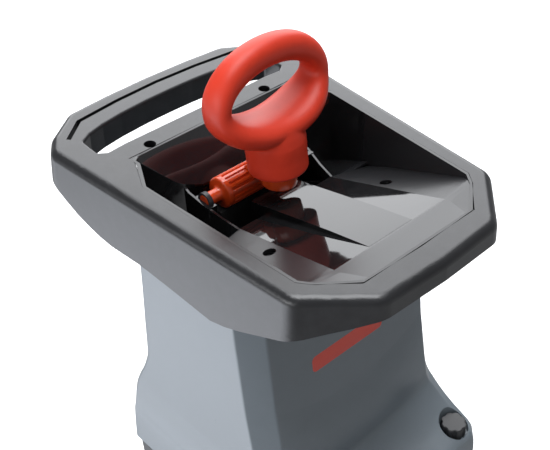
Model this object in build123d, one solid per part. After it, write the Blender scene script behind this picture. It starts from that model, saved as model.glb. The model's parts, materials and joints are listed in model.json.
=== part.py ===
from build123d import *
import math
import os

# Electric garden shredder (wood chipper), millimetres.
# +Z up, the low feeding lip of the hopper faces -Y (front), the carry handle faces +Y (rear),
# left is -X, ground at Z = 0. All but the switch box and its fittings is symmetric about X = 0.

# ---------------------------------------------------------------- driving dimensions
RIM = 950.0                 # height of the hopper deck above the ground
SKIN = 3.2                  # moulded wall thickness of tray and housings
TRAY_R = 20.0               # plan corner radius of the tray
TRAY_SHOULDER = 9.0         # rounding of the tray's top edge
TRAY_DEPTH = 95             # height of the skirt before its lower edge is trimmed
TRAY_FLARE = 6.0            # the skirt opens outward by this much over its depth
LINER = 2.6                 # wall thickness of the feed funnel
OPEN_TOP = 12.0             # the funnel's cavity is cut this far above the deck
SCREW_WELL_R = 5.8          # radius of the four screw wells
WELL_WALL = 2.4
GRIP_EDGE = 3.0             # rounding of the carry slot, where the fingers go
REAR_WELL = (71.4, 108.9)   # x, y of the rear pair of screw wells
FRONT_WELL = (73.2, -54.5)  # x, y of the front pair
HUB_Y, HUB_Z = 45.0, RIM - 36.0   # rocking axis of the pusher
HUB_R, STUB_R = 15.4, 6.5
BUSH_R = 8.5
RUN = 0.05                  # radial running clearance
RING_C = (0.0, 28.0, RIM + 65.5)  # centre of the ring grip
RING_A, RING_B = 60.8, 35.4       # semi-axes of the ring's centre line
RING_TILT = 22.0            # the ring leans back by this angle
RING_TUBE = 12.0            # grip thickness radius
POST_Y, POST_R = 11.0, 26.8
DUCT_X, DUCT_FRONT, DUCT_REAR = 57.5, 1.0, 63.0   # inside of the feed duct
DUCT_WALL, DUCT_BOTTOM = 3, 562.0
THROAT_REAR = 61.0
COLUMN_X = 120.0            # half width of the column
CORNER = 20.0               # bevel of its front corners
CORNER_LOW = 10.0           # the same bevel at the foot of the flare
SPLIT_Z = 590.0             # parting height of upper and lower housing
BASE_TOP = SPLIT_Z - 0.4
AXIS_Y = -30.0              # motor and disc axis
SHAFT_R, SHAFT_TIP_R, BEARING_SEAT_R = 8.0, 5.0, 19.0
DISC_R, DISC_T, DISC_Z = 110.0, 8.0, 548
DISC_TOP = DISC_Z + DISC_T
HINGE_Y, HINGE_Z = 119.0, 586.0
HINGE_R, HINGE_PIN_R = 7.5, 3.0
FLAP_Y, FLAP_Z = -243.5, 474.5    # hinge axis of the discharge flap
FLAP_PIN_R, FLAP_KNUCKLE_R = 1.5, 3.8
COUNTER_X, COUNTER_Y = (-40, 40), 73    # screws of the counter knife
LEG_R, LEG_WALL = 12.5, 1.5
LEG_X, LEG_TOP = 138, 500         # level run of each leg beside the lower housing
LEG_BOLT_Y, LEG_HOLE_R = (-80, 45), 3.2
WHEEL_R, WHEEL_X = 90.0, 232.0
TREAD_R = 70                # radius where the tyre meets the wheel rim
AXLE_Y, AXLE_Z, AXLE_R = 196.5, WHEEL_R, 6.0
KNOB_X, KNOB_Y = 103.0, -148.0
KNOB_FLOOR = 629.0          # floor of the pocket that the hand screw sits in
STUD_R = 4.0
FOOT_X, FOOT_Y = 208.1, -266.95

SIDES = (1, -1)
NAMED_SIDES = (("left", -1), ("right", 1))

os.makedirs("parts", exist_ok=True)


# ---------------------------------------------------------------- helpers
def save(name, shape):
    """Write the solids of a shape, or of a list of shapes, to one file."""
    shapes = shape if isinstance(shape, list) else [shape]
    solids = [solid for item in shapes for solid in item.solids()]
    part = Compound(children=solids) if len(solids) > 1 else solids[0]
    export_step(part, f"parts/{name}.step")


def largest(shape):
    return max(shape.solids(), key=lambda solid: solid.volume)


def below_rim(points):
    """Turn (distance, depth below the deck) into (distance, z)."""
    return [(distance, RIM - depth) for distance, depth in points]


def polygon(points):
    return Face(Wire.make_polygon([Vector(*point) for point in points], close=True))


def loop_face(half, z, radius=None):
    """Symmetric face at height z; half has its x >= 0 points, back centre to front centre."""
    points = list(half) + [(-x, y) for x, y in reversed(half) if x > 1e-6]
    if radius:
        wire = FilletPolyline(*points, radius=radius, close=True)
    else:
        wire = Polyline(*points, close=True)
    return Plane.XY.offset(z) * make_face(wire)


def rectangle(z, half_x, front, rear):
    corners = [(-half_x, front), (half_x, front), (half_x, rear), (-half_x, rear)]
    return Plane.XY.offset(z) * make_face(Polyline(*corners, close=True))


def rounded_rectangle(z, half_x, front, rear, radius):
    face = RectangleRounded(2 * half_x, rear - front, radius)
    return Plane.XY.offset(z) * (Pos(0, (front + rear) / 2) * face)


def ruled(faces):
    return loft(faces, ruled=True)


def tapered_bodies(rows, inner_heights):
    """Outside and inside of a moulding; rows are z, half width, front y, rear y, radius."""
    outside = ruled([rounded_rectangle(*row) for row in rows])
    inside = ruled([
        rounded_rectangle(z, half_x - SKIN, front + SKIN, rear - SKIN, radius - 3)
        for z, (_, half_x, front, rear, radius) in zip(inner_heights, rows)])
    return outside, inside


def side_prism(points, x_start, x_end):
    """Prism along X from (y, z) points."""
    x_start, x_end = sorted((x_start, x_end))
    face = polygon([(x_start, y, z) for y, z in points])
    return Solid.extrude(face, Vector(x_end - x_start, 0, 0))


def box(x_start, x_end, front, rear, bottom, top):
    """Box between limits; the two x limits may come in either order."""
    centre = Pos((x_start + x_end) / 2, (front + rear) / 2, (bottom + top) / 2)
    return centre * Box(abs(x_end - x_start), rear - front, top - bottom)


def rod_z(x, y, bottom, top, radius):
    return Pos(x, y, (bottom + top) / 2) * Cylinder(radius, top - bottom)


def rod_x(x_start, x_end, y, z, radius):
    """Cylinder along X; the two x limits may come in either order."""
    centre = Pos((x_start + x_end) / 2, y, z)
    return centre * Rot(0, 90, 0) * Cylinder(radius, abs(x_end - x_start))


def well_rod(well, side, low, high, radius):
    """Vertical cylinder on a screw well's axis between two depths below the deck."""
    return rod_z(side * well[0], well[1], RIM - low, RIM - high, radius)


def knob_rod(side, bottom, top, radius):
    return rod_z(side * KNOB_X, KNOB_Y, bottom, top, radius)


def motor_rod(bottom, top, radius):
    return rod_z(0, AXIS_Y, bottom, top, radius)


def hinge_rod(x_start, x_end, radius):
    return rod_x(x_start, x_end, HINGE_Y, HINGE_Z, radius)


def flap_rod(x_start, x_end, radius):
    return rod_x(x_start, x_end, FLAP_Y, FLAP_Z, radius)


def wheel_rod(side, inner, outer, radius):
    """Cylinder on the axle, its ends measured outward from the wheel's middle plane."""
    ends = side * (WHEEL_X + inner), side * (WHEEL_X + outer)
    return rod_x(*ends, AXLE_Y, AXLE_Z, radius)


def duct_box(margin, bottom, top):
    """Inside of the feed duct, grown by a margin in plan."""
    return box(-DUCT_X - margin, DUCT_X + margin, DUCT_FRONT - margin, DUCT_REAR + margin,
               bottom, top)


# ---------------------------------------------------------------- space inside the funnel
# Each function takes grow: 0 gives the cavity, more moves the walls outward.
def recess_half(grow):
    """Half outline of the funnel's mouth in the deck."""
    return [(0, 101 + grow), (90, 99.5 + grow), (98 + grow * 0.7, 94.5 + grow * 0.6),
            (114.6 + grow, 60 + grow * 0.3), (104.4 + grow, -120 - grow * 0.2),
            (96 + grow * 0.6, -131 - grow * 0.7), (66.6 + grow * 0.3, -154 - grow),
            (0, -156 - grow)]


def space_top(grow):
    return RIM + (0.0 if grow else OPEN_TOP)


def ramp_space(grow):
    rows = [
        # y, top half width, wall foot x and z, ramp edge x and z (z from the deck)
        (-155.0 - grow, 66, 65, -0.2, 60 + grow, -0.4),
        (-131, 96, 95.4, -0.9, 68.5, -5.2),
        (-126, 99.8, 99.2, -1.6, 68.3, -6.4),
        (-120, 104.2, 103.6, -4.0, 67.8, -8.2),
        (-28, 109.6, 108.8, -43.0, 60.1, -35.6),
        (1.0, 111.2, 110.2, -57.0, 57.7, -44.2),
    ]
    faces = []
    for y, top_x, foot_x, foot_z, edge_x, edge_z in rows:
        top_x, foot_x = top_x + grow, foot_x + grow
        top_z, foot_z, edge_z = space_top(grow), RIM + foot_z - grow, RIM + edge_z - grow
        faces.append(polygon([
            (top_x, y, top_z), (foot_x, y, foot_z), (edge_x, y, edge_z),
            (-edge_x, y, edge_z), (-foot_x, y, foot_z), (-top_x, y, top_z)]))
    return ruled(faces)


def pocket_space(grow, side):
    """Deep pocket on one side of the throat; its floor drops towards the rear."""
    top = [(50, 1.0 - grow), (50, 62), (66 - grow, 70 + grow), (97, 95.5 + grow),
           (114.6 + grow, 60), (111.2 + grow, 1.0 - grow)]
    low = [(50, 1.0 - grow), (50, 60), (66 - grow, 62 + grow), (90, 63 + grow),
           (112 + grow, 52), (110.2 + grow, 1.0 - grow)]
    top_face = polygon([(side * x, y, space_top(grow)) for x, y in top])
    low_face = polygon([(side * x, y, RIM - 90.0 - grow) for x, y in low])
    above_floor = side_prism(below_rim([
        (-40, 38 + grow), (1, 52 + grow), (60, 80 + grow), (120, 80 + grow),
        (120, -40), (-40, -40)]), -130, 130)
    return ruled([low_face, top_face]) & above_floor


def rear_space(grow):
    body = ruled([rectangle(RIM - 31.0 - grow, 64 + grow, -2 - grow, 61 + grow),
                  rectangle(RIM, 97 + grow, -2 - grow, 101 + grow)])
    if not grow:
        lid = extrude(rectangle(0, 96, -2, 100.5), OPEN_TOP)
        body = body + (Plane.XY.offset(RIM) * lid)
    return body


def funnel_space(grow):
    return (ramp_space(grow) + pocket_space(grow, 1) + pocket_space(grow, -1)
            + rear_space(grow))


# ---------------------------------------------------------------- feed funnel
cavity = funnel_space(0)
funnel_outer = funnel_space(LINER)
throat = box(-DUCT_X, DUCT_X, DUCT_FRONT, THROAT_REAR, RIM - 100, RIM - 20)
throat_outer = box(-DUCT_X - 4, DUCT_X + 4, DUCT_FRONT - LINER, THROAT_REAR + LINER,
                   RIM - 92, RIM - 36)
clip = extrude(loop_face(recess_half(LINER - 0.05), RIM - 120), 120)
funnel = ((funnel_outer + throat_outer) - cavity - throat) & clip

# thin upright cheeks beside the throat
CHEEK_T = 2.2
cheek_inner = [(57.7, 0.6), (60.8, 19.2), (65.0, 40.4), (65.0, 70.0)]      # x, y
cheek_plan = cheek_inner + [(x + CHEEK_T, y) for x, y in cheek_inner][::-1]
cheek_profile = below_rim([     # y, depth
    (-4, 100), (-4, 44.0), (0.6, 44.0), (19.2, 40.8), (40.4, 35), (61.4, 32.5),
    (70, 27.9), (74, 27.9), (74, 100)])
for side in SIDES:
    cheek_face = polygon([(side * x, y, RIM - 92) for x, y in cheek_plan])
    cheek = Solid.extrude(cheek_face, Vector(0, 0, 92))
    cheek_zone = funnel_outer + throat_outer + box(-70, 70, 0, 66, RIM - 92, RIM - 27)
    cheek = (cheek & side_prism(cheek_profile, -80, 80)) & cheek_zone
    # saddle that carries the pusher's bush, open at the top
    saddle = box(side * 57.0, side * 66.5, HUB_Y - 12, HUB_Y + 12, HUB_Z - 15, HUB_Z)
    notch_r = BUSH_R + RUN
    notch = (rod_x(-67, 67, HUB_Y, HUB_Z, notch_r)
             + box(-67, 67, HUB_Y - notch_r, HUB_Y + notch_r, HUB_Z, HUB_Z + 30))
    notch_limit = box(-62.6, 62.6, 0, 100, RIM - 120, RIM)
    funnel = funnel - box(side * 57.0, side * 64.9, HUB_Y - 12, THROAT_REAR,
                          HUB_Z - 14.9, HUB_Z + 12)
    funnel = funnel + cheek + (saddle - (notch & notch_limit))

# raised central panel that runs down the ramp and out over the throat like a tongue
tongue = side_prism(below_rim([     # y, depth
    (-124.5, 6.7), (-80, 16.2), (22, 41.0), (22, 50.0), (15, 52.5), (1, 50.5),
    (-124.5, 8.8)]), -26.5, 26.5)
tongue = fillet(tongue.edges().filter_by(Axis.Z).group_by(Axis.Y)[-1], 4.0)
funnel = funnel + tongue
for side in SIDES:
    well_zone = funnel_outer + box(-100, 100, -80, -30, RIM - 42, RIM - 33)
    well_body = well_rod(FRONT_WELL, side, 42, 20, SCREW_WELL_R + WELL_WALL)
    funnel = funnel + ((well_body & well_zone) - cavity)
    funnel = funnel - well_rod(FRONT_WELL, side, 38.5, 0, SCREW_WELL_R)
    funnel = funnel - well_rod(FRONT_WELL, side, 45, 0, 2.3)
save("feed_funnel", largest(funnel))

# ---------------------------------------------------------------- hopper tray
TRAY_HALF = [(0, 210.8), (50, 209.5), (96, 206), (131.5, 181), (146.2, 161), (124.4, -132),
             (70, -182), (0, -185)]
TRAY_UNDERSIDE = [      # y, depth of the skirt's lower edge
    (-300, 19.5), (-187, 19.5), (-177, 24), (-166, 29.5), (-155, 34), (-141.7, 40),
    (-134, 42.5), (-80, 64.5), (-63.5, 70), (-47, 73.3), (4, 67), (41, 63.2), (79, 63.2),
    (94, 61), (110, 57), (126, 51.5), (142, 44), (158, 35.5), (172, 30.5), (185, 28),
    (300, 28), (300, 130), (-300, 130)]
GRIP_HALF = [(0, 171.5), (30, 171.0), (60, 168.9), (84, 165.4), (102, 160.6), (113.5, 154),
             (114.5, 131), (107, 125.5), (88, 127)]
GROOVE_PATH = [(-122, 166), (-97, 185.5), (-50, 190.5), (0, 192.5), (50, 190.5), (97, 185.5),
               (122, 166)]

top_face = loop_face(TRAY_HALF, RIM, TRAY_R)


def tray_section(drop, amount):
    """Outline of the deck, lowered and grown."""
    return Plane.XY.offset(-drop) * offset(top_face, amount=amount, kind=Kind.ARC)


def carry_bar_strip(z, width, height):
    strip = extrude(trace(Polyline(*GROOVE_PATH), line_width=width), height)
    return Plane.XY.offset(z) * strip


def on_slot_rim(edge):
    """True for the deck edges of the carry slot."""
    centre = edge.center()
    return abs(centre.Z - RIM) < 0.01 and abs(centre.X) < 118 and 120 < centre.Y < 175


tray = ruled([tray_section(TRAY_DEPTH, TRAY_FLARE), top_face])
tray = fillet(tray.faces().sort_by(Axis.Z)[-1].edges(), TRAY_SHOULDER)
hollow = ruled([tray_section(TRAY_DEPTH + 1, TRAY_FLARE - SKIN),
                tray_section(TRAY_SHOULDER + 1, -SKIN),
                tray_section(SKIN, -SKIN - 5.0)])
tray = tray - hollow
tray = tray - side_prism(below_rim(TRAY_UNDERSIDE), -200, 200)
# carry slot with its surrounding wall
grip_face = loop_face(GRIP_HALF, RIM - 26, 3.0)
grip_wall = extrude(offset(grip_face, amount=2.6, kind=Kind.ARC), 24.5) & (tray + hollow)
tray = tray + grip_wall - extrude(Plane.XY.offset(-4) * grip_face, 60)
tray = fillet(tray.edges().filter_by(on_slot_rim), GRIP_EDGE)
# narrow groove along the top of the carry bar
tray = tray + carry_bar_strip(RIM - 10.0, 9.4, 8.5) - carry_bar_strip(RIM - 7.5, 4.6, 12)
tray = tray - extrude(loop_face(recess_half(LINER + 0.05), RIM - 20), 40)
for side in SIDES:
    tray = tray + well_rod(REAR_WELL, side, 30, 1.5, SCREW_WELL_R + WELL_WALL)
    tray = tray - well_rod(REAR_WELL, side, 27.5, -5, SCREW_WELL_R)
    tray = tray - well_rod(REAR_WELL, side, 40, 0, 2.3)
tray = tray - (funnel_outer + throat_outer + cavity) - rear_space(LINER + 0.1)
save("hopper_tray", largest(tray))

# ---------------------------------------------------------------- feed duct
duct_top = RIM - 92.1
duct = (duct_box(DUCT_WALL, DUCT_BOTTOM, duct_top)
        - duct_box(0, DUCT_BOTTOM - 1, duct_top + 1))
collar = (box(-DUCT_X - 9, DUCT_X + 9, DUCT_FRONT - 9, DUCT_REAR + 7, 600, 603)
          - duct_box(1, 590, 610))
save("feed_duct", duct + collar)

# ---------------------------------------------------------------- upper housing (column)
COLUMN = [
    # z, half width, front y, rear y, front bevel
    (916, 121.5, -72, 98, CORNER), (905, 121, -73, 92, CORNER),
    (890, 120.6, -75, 85, CORNER), (872, 120, -77, 79, CORNER),
    (850, COLUMN_X, -79.5, 76.5, CORNER), (777, COLUMN_X, -88.5, 78, CORNER),
    (745, COLUMN_X, -96, 80, CORNER), (715, COLUMN_X, -101.3, 88, 19.2),
    (695, COLUMN_X, -104, 96, 17.5), (684, 120.3, -105, 100, 16),
    (674, 120.7, -107.5, 104, 14), (665, 121, -115, 106, 11.5),
    (655.3, 121.5, -126.5, 107.5, 10.5), (647, 122.2, -139.5, 108.2, CORNER_LOW),
    (640, 123, -153.5, 108.6, CORNER_LOW), (635.5, 123.8, -162, 108.8, CORNER_LOW),
    (630, 124.5, -166.5, 109, CORNER_LOW), (615, 125.3, -169, 109, CORNER_LOW),
    (SPLIT_Z, 126, -170, 109, CORNER_LOW)]


def column_face(z, half_x, front, rear, bevel, inset=0.0):
    """Outline of the column: bevelled front corners, tight rear corners."""
    bevel, radius = bevel - 0.586 * inset, 6.0 - inset * 0.8
    half_x, front, rear = half_x - inset, front + inset, rear - inset
    points = [(-half_x + bevel, front), (half_x - bevel, front), (half_x, front + bevel),
              (half_x, rear), (-half_x, rear), (-half_x, front + bevel)]
    return Plane.XY.offset(z) * make_face(FilletPolyline(*points, radius=radius, close=True))


column_outer = ruled([column_face(*row) for row in COLUMN])
# the inside drops under the sloping flare to keep its wall, and overshoots both ends
inner_rows = [(row[0] - (3.0 if 632 < row[0] < 680 else 0),) + row[1:] for row in COLUMN]
inner_rows[0] = (917,) + inner_rows[0][1:]
inner_rows[-1] = (SPLIT_Z - 1,) + inner_rows[-1][1:]
upper = column_outer - ruled([column_face(*row, inset=SKIN) for row in inner_rows])
# inner deck that carries the duct
deck = (box(-130, 130, -175, 115, 594, 597.5) & column_outer) - duct_box(3.3, 580, 620)
upper = upper + deck
funnel_clearance = funnel_space(LINER + 0.5)
upper = upper - funnel_clearance
for side in SIDES:
    # screw bosses of the hopper, each with a rib to the wall
    rib_x = side * REAR_WELL[0]
    boss = (well_rod(REAR_WELL, side, 58, 30.3, 8.0)
            + box(rib_x - 2, rib_x + 2, 80, REAR_WELL[1], RIM - 58, RIM - 46))
    upper = upper + (boss - funnel_clearance - well_rod(REAR_WELL, side, 54, 20, 2.1))
    rib_x = side * FRONT_WELL[0]
    boss = (well_rod(FRONT_WELL, side, 66, 42.3, 7.0)
            + box(rib_x - 2, rib_x + 2, -77, FRONT_WELL[1], RIM - 66, RIM - 48))
    upper = upper + (boss - well_rod(FRONT_WELL, side, 62, 20, 2.1) - funnel_clearance)
    # sleeve and pocket for the hand screw
    sleeve = knob_rod(side, SPLIT_Z, KNOB_FLOOR, 8.5) & column_outer
    cup = knob_rod(side, KNOB_FLOOR - 3, 700, 20.0) & column_outer
    upper = (upper + sleeve + cup) - knob_rod(side, 580, 700, 4.6)
    upper = upper - knob_rod(side, KNOB_FLOOR, 720, 16)
# locating tab that presses the safety switch
upper = (upper + box(-66, -54, -168 + SKIN - 0.5, -160.8, 577, 600)
         - box(-70, -50, -172, -164.6, 570, SPLIT_Z - 0.01))
# hinge knuckles
for start, end in ((-70, -45), (45, 70)):
    knuckle = (hinge_rod(start, end, HINGE_R)
               + box(start, end, 105.5, HINGE_Y, HINGE_Z + 4.2, HINGE_Z + 7.4)
               + box(start, end, 105.5, 112, HINGE_Z + 4.2, HINGE_Z + 24))
    upper = upper + (knuckle - box(start - 1, end + 1, 90, 111.0, HINGE_Z - 20, SPLIT_Z))
upper = upper - hinge_rod(-80, 80, HINGE_PIN_R + 0.05)
save("upper_housing", largest(upper))


# ---------------------------------------------------------------- screws of the hopper
def hopper_screw(well, side, seat, tip):
    """Socket-head screw; seat is the depth under the head, tip that of its point."""
    return (well_rod(well, side, seat, seat - 3, 4.6)
            + well_rod(well, side, tip, seat - 0.4, 2.05)
            - well_rod(well, side, seat - 1.5, seat - 7.4, 1.6))


save("hopper_screws", [
    hopper_screw(well, side, seat, tip) for side in SIDES
    for well, seat, tip in ((REAR_WELL, 27.4, 48), (FRONT_WELL, 38.4, 58))])

# ---------------------------------------------------------------- pusher handle
tilt = math.radians(RING_TILT)
ring_plane = Plane(origin=RING_C, x_dir=(1, 0, 0), z_dir=(0, -math.cos(tilt), math.sin(tilt)))
half_rings = []
for start_angle in (90, 270):
    arc = Wire([Edge.make_ellipse(RING_A, RING_B, ring_plane, start_angle, start_angle + 180)])
    half_rings.append(sweep(Plane(origin=arc @ 0, z_dir=arc % 0) * Circle(RING_TUBE), path=arc))
ring = half_rings[0] + half_rings[1]
post_profile = make_face(Polyline(*below_rim([      # radius, depth
    (0, 9), (POST_R + 0.6, 9), (POST_R + 1.2, 8), (POST_R + 0.8, 3), (POST_R, -8),
    (POST_R, -40), (0, -40)]), close=True))
post = Pos(0, POST_Y, 0) * revolve(Plane.XZ * post_profile, axis=Axis.Z)
# keeps the opening of the ring clear of the post
opening = Ellipse(RING_A - RING_TUBE + 1.2, RING_B - RING_TUBE + 1.2)
tunnel = extrude(ring_plane * opening, 60, both=True)
post = (post - tunnel) - box(-40, 40, -40, 80, RIM + 38, RIM + 60)
handle = ring + largest(post)
handle = handle - rod_z(0, POST_Y, RIM - 30, RIM + 8, 13.0)
handle = handle - rod_z(0, POST_Y, RIM, RIM + 22, 2.9)
save("pusher_handle", largest(handle))

# ---------------------------------------------------------------- pusher hub, bolt, pad, bushes
FLUTES = 16
barrel = rod_x(-43, 43, HUB_Y, HUB_Z, HUB_R)
for i in range(FLUTES):
    angle = 2 * math.pi * (i + 0.5) / FLUTES
    barrel = barrel - rod_x(-36, 36, HUB_Y + (HUB_R + 0.9) * math.cos(angle),
                            HUB_Z + (HUB_R + 0.9) * math.sin(angle), 1.9)
stubs = rod_x(-62.3, 62.3, HUB_Y, HUB_Z, STUB_R)
stem = (rod_z(0, POST_Y, RIM - 26, RIM + 7.8, 12.95)
        + rod_z(0, POST_Y, RIM - 26, RIM - 9.2, 17))
arm = side_prism(below_rim([    # y, depth
    (POST_Y - 8, 25.5), (POST_Y - 8, 11), (34, 12), (50, 24), (50, 36), (36, 36), (31, 27),
    (28, 26)]), -13, 13)
blade_root = box(-30, 30, HUB_Y - 3, HUB_Y + 3, HUB_Z - 22, HUB_Z - 10)
hub = barrel + stubs + arm + stem + blade_root
hub = hub - rod_z(0, POST_Y, RIM - 27, RIM + 10, 3.2) - rod_z(0, POST_Y, RIM - 27, RIM - 21, 6.2)
save("pusher_hub", hub)

save("handle_bolt", rod_z(0, POST_Y, RIM - 25.8, RIM - 21, 5.5)
     + rod_z(0, POST_Y, RIM - 22, RIM + 7.9, 2.85) + rod_z(0, POST_Y, RIM + 7.0, RIM + 20, 2.85))

pad = box(-48, 48, HUB_Y - 6, HUB_Y + 6, HUB_Z - 62, HUB_Z - 17.5)
pad = fillet(pad.edges().filter_by(Axis.Y).group_by(Axis.Z)[0], 10)
pad = pad - box(-30.02, 30.02, HUB_Y - 3.02, HUB_Y + 3.02, HUB_Z - 22.02, HUB_Z)
save("pusher_pad", pad)

for tag, side in NAMED_SIDES:
    save(f"pusher_bush_{tag}", rod_x(side * 57.6, side * 62.2, HUB_Y, HUB_Z, BUSH_R)
         - rod_x(-70, 70, HUB_Y, HUB_Z, STUB_R + RUN))

# ---------------------------------------------------------------- lower housing
base_outer, base_inner = tapered_bodies(
    [(BASE_TOP, 126, -170, 109, 18), (520, 123.5, -167, 106, 20),
     (440, 118, -160, 98, 24), (404, 100, -136, 76, 28)],
    inner_heights=(SPLIT_Z + 1, 520, 440, 403))
base = base_outer - base_inner
floor = (box(-130, 130, -175, 115, 528, 532) & base_outer) - motor_rod(500, 560, 10)
chamber = (motor_rod(531, 562, 122) - motor_rod(520, 580, 119)) & base_outer
base = base + floor + chamber
# seat of the upper bearing
base = base + (motor_rod(509, 529, 24) - motor_rod(500, 524, BEARING_SEAT_R))
base = base - motor_rod(500, 560, 10)
# opening for the chute in the front wall, then the one in the chamber floor that feeds it
base = base - side_prism([(-139.0, 446.0), (-139.0, 528.0), (-152.2, 528.3), (-238.2, 471.6),
                          (-238.2, 398.5)], -51.4, 51.4)
base = base - box(-48, 48, -145, -105, 520, 540)
for side in SIDES:
    for y in LEG_BOLT_Y:
        base = base + (rod_x(side * 112, side * 125.3, y, LEG_TOP, 9.5) - base_inner)
        base = base - rod_x(side * 100, side * 130, y, LEG_TOP, LEG_HOLE_R)
    knob_post = knob_rod(side, 555, BASE_TOP, 10.5) & base_outer
    base = (base + knob_post) - knob_rod(side, 560, 600, 5.8)
# slot for the tab of the upper housing, closed again by a thin wall at the front
base = (base - box(-70, -50, -166.9, -158.0, 570, 600)
        + (box(-72, -48, -168, -166.4, 565, BASE_TOP) & base_outer))
# middle hinge knuckle
start, end = -44.5, 44.5
knuckle = (hinge_rod(start, end, HINGE_R)
           + box(start, end, 104, HINGE_Y, HINGE_Z - 7.4, HINGE_Z - 4.2)
           + box(start, end, 104, 112, HINGE_Z - 24, HINGE_Z - 4.2))
base = base + (knuckle - box(-50, 50, 90, 111.2, HINGE_Z - 3.9, HINGE_Z + 12) - base_inner)
base = base - hinge_rod(-80, 80, HINGE_PIN_R + 0.02)
for start, end in ((-71, -44.8), (44.8, 71)):
    base = base - hinge_rod(start, end, 8.3)
save("base_housing", largest(base))
save("hopper_hinge_pin", hinge_rod(-72, 72, HINGE_PIN_R) + hinge_rod(-74.5, -72, 5)
     + hinge_rod(72, 74.5, 5))

# safety switch behind the tab of the upper housing, with a small block on top
switch_body = fillet(box(-69, -51, -157.6, -146, 552, 580).edges().filter_by(Axis.Y), 1.5)
save("interlock_switch", switch_body + box(-62, -58, -157.6, -150, 579, 583))

# ---------------------------------------------------------------- discharge chute and flap
chute_outer = side_prism([(-140.0, 446.5), (-140.0, 527.7), (-152, 527.7), (-238, 471.0),
                          (-238, 399.0)], -51, 51)
chute_core = side_prism([(-139.0, 450.4), (-139.0, 524.5), (-151, 524.5), (-239, 466.6),
                         (-239, 402.0)], -48, 48)
flap = (box(-52, 52, -242.0, -239.2, 396, 471) + flap_rod(-40, 40, FLAP_KNUCKLE_R)
        + box(-40, 40, -243.5, -239.4, 468, 473))
flap = flap - flap_rod(-60, 60, FLAP_PIN_R + 0.05)
save("discharge_flap", flap)
flap_bore = flap_rod(-60, 60, FLAP_PIN_R)
ears = []
for side in SIDES:
    start, end = side * 44.0, side * 48.0
    ear = flap_rod(start, end, FLAP_KNUCKLE_R) + side_prism(
        [(-243.5, 470.8), (-243.5, 478.3), (-228, 478.3), (-228, 464.8), (-238.2, 471.5)],
        start, end)
    ears.append(ear - chute_outer - flap - flap_bore)
save("discharge_chute", (chute_outer - chute_core) + ears[0] + ears[1] - flap_bore)
save("flap_pin", flap_rod(-49, 49, FLAP_PIN_R))

# ---------------------------------------------------------------- motor
VENT_PITCH = 14
cover_outer, cover_inner = tapered_bodies(
    [(403.8, 100, -136, 76, 28), (380, 97, -132, 72, 28), (348, 84, -116, 56, 26),
     (342, 78, -110, 50, 24)],
    inner_heights=(405, 380, 352, 345.2))
cover = cover_outer - cover_inner
cover = cover + (motor_rod(344, 412, 24) - motor_rod(400, 420, BEARING_SEAT_R)
                 - motor_rod(340, 420, 12))
for i in (-4, -3, -2, -1, 1, 2, 3, 4):
    for front, rear in ((-95, -60), (0, 35)):
        cover = cover - box(i * VENT_PITCH - 2.5, i * VENT_PITCH + 2.5, front, rear, 335, 350)
save("motor_cover", cover)
save("motor_stator", motor_rod(432, 500, 56) - motor_rod(430, 502, 33.5))
save("motor_brackets", [motor_rod(500.1, 508.9, 58) - motor_rod(495, 515, 30),
                        motor_rod(412.1, 431.9, 58) - motor_rod(410, 435, 50)])
save("motor_rotor", motor_rod(434, 498, 32.8) - motor_rod(430, 502, SHAFT_R))
save("motor_shaft", motor_rod(398, DISC_Z, SHAFT_R) + motor_rod(DISC_Z, 574, SHAFT_TIP_R))
for name, bottom, top in (("upper_bearing", 512, 523.9), ("lower_bearing", 400.1, 411.9)):
    save(name, motor_rod(bottom, top, BEARING_SEAT_R - 0.02)
         - motor_rod(bottom - 2, top + 1.1, SHAFT_R + RUN))

# ---------------------------------------------------------------- cutting disc and knives
BLADE_BOLT_X, BLADE_BOLT_Y = (50, 88), 14
BLADE_BOLT_TOP = 560.4
disc = motor_rod(DISC_Z, DISC_TOP, DISC_R) - motor_rod(540, 560, SHAFT_TIP_R)
blades, blade_bolts = [], []
for angle in (0, 180):
    # cutting knife bolted flat on the disc, with a chip slot ahead of it
    placed = Pos(0, AXIS_Y, 0) * Rot(0, 0, angle)
    edge_bevel = side_prism([(-4.1, 557.2), (-4.1, 560.6), (4, 560.6)], 30, 110)
    knife = placed * (box(34, 104, -4, 24, DISC_TOP, DISC_TOP + 4.5) - edge_bevel)
    disc = disc - placed * box(38, 102, -16, -5, 540, 560)
    for x in BLADE_BOLT_X:
        y = BLADE_BOLT_Y
        bolt = placed * (rod_z(x, y, 558.05, BLADE_BOLT_TOP, 5) + rod_z(x, y, 546, 559, 2.95)
                         - (Pos(x, y, BLADE_BOLT_TOP) * Box(1.2, 7, 1.6)))
        hole = placed * (rod_z(x, y, 540, 570, 3.0) + rod_z(x, y, 558.0, 570, 5.1))
        knife = knife - hole
        disc = disc - hole
        blade_bolts.append(bolt)
    blades.append(knife)
save("cutting_disc", disc)
save("blades", blades)
save("blade_bolts", blade_bolts)

tip_bore = motor_rod(550, 580, SHAFT_TIP_R)
nut = (Pos(0, AXIS_Y, 562) * extrude(RegularPolygon(9, 6), 7)) - tip_bore
save("disc_nut", nut + (motor_rod(DISC_TOP + 0.1, 562, 12) - tip_bore))

# ---------------------------------------------------------------- counter knife below the duct
counter = box(-56, 56, 67.0, 79, 561.0, 567.1)
bracket = box(-56, 56, 66.4, 79, 567.2, 570.4) + box(-56, 56, 66.4, 69, 567.2, 593.9)
for x in COUNTER_X:
    hole = rod_z(x, COUNTER_Y, 560, 600, 2.6)
    counter = counter - hole
    bracket = bracket - hole - rod_z(x, COUNTER_Y, 570.4, 576, 4.8)
save("counter_knife", counter)
save("counter_knife_bracket", bracket)
save("counter_knife_screws", [
    rod_z(x, COUNTER_Y, 570.5, 573.5, 4.3) + rod_z(x, COUNTER_Y, 561.6, 571, 2.55)
    for x in COUNTER_X])

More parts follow.
